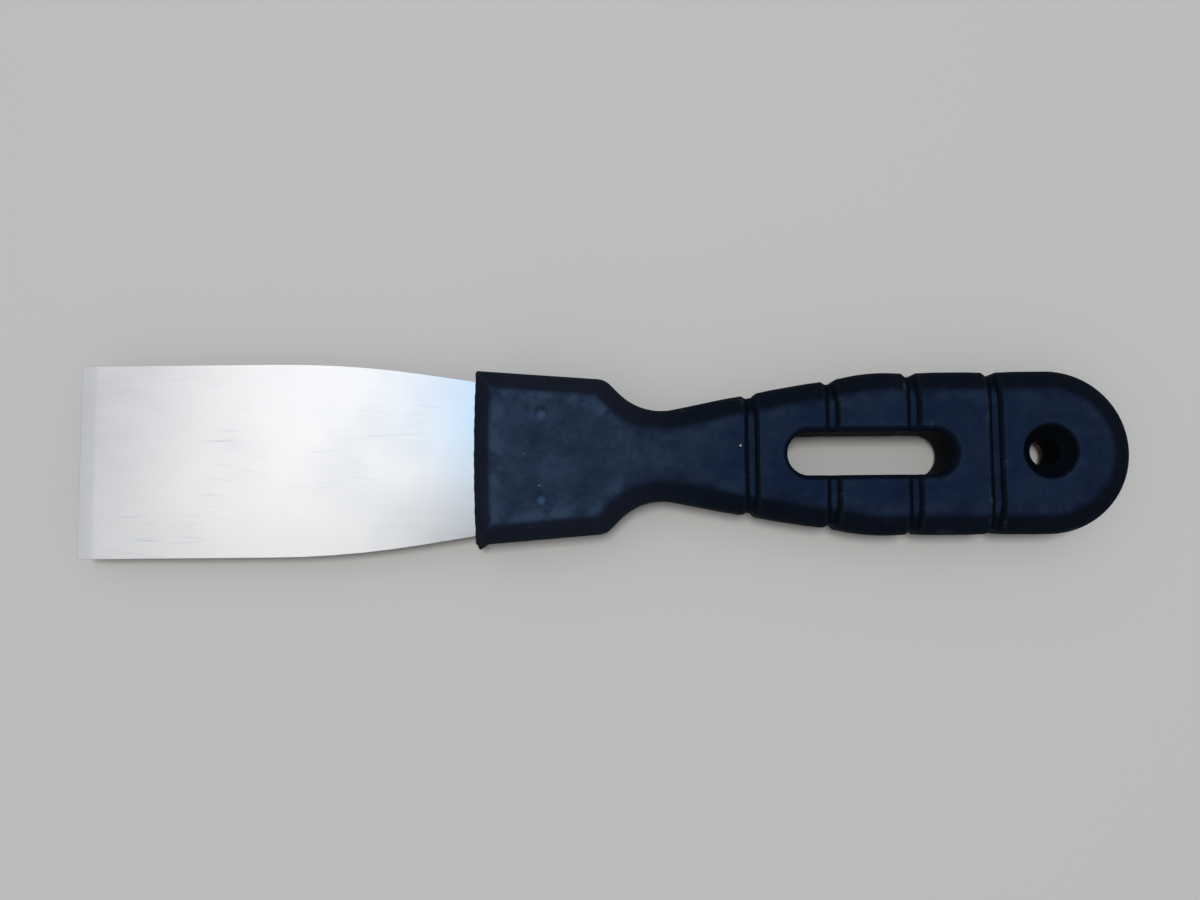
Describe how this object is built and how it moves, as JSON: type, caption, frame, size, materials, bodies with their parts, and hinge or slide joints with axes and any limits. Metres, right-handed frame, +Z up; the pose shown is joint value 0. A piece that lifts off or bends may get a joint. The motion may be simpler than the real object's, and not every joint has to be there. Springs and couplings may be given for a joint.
{
  "type": "putty knife",
  "caption": "Flat putty knife: a satin stainless blade locked in a black moulded handle with a narrow neck, grooved grip, finger slot and hanging hole.",
  "frame": {"origin": "on the surface the knife lies on, under the middle of its length and width", "axes": "+X along the knife from the scraping edge to the hanging hole, +Y across the blade, +Z up out of the handle's upper face"},
  "size_m": [0.215, 0.04, 0.015],
  "materials": {
    "blade_steel": "satin polished stainless, fine lengthwise scratches",
    "handle_plastic": "blue-black moulded plastic, satin"
  },
  "bodies": {
    "root": {"blade": "blade_steel", "handle": "handle_plastic"}
  },
  "joints": []
}
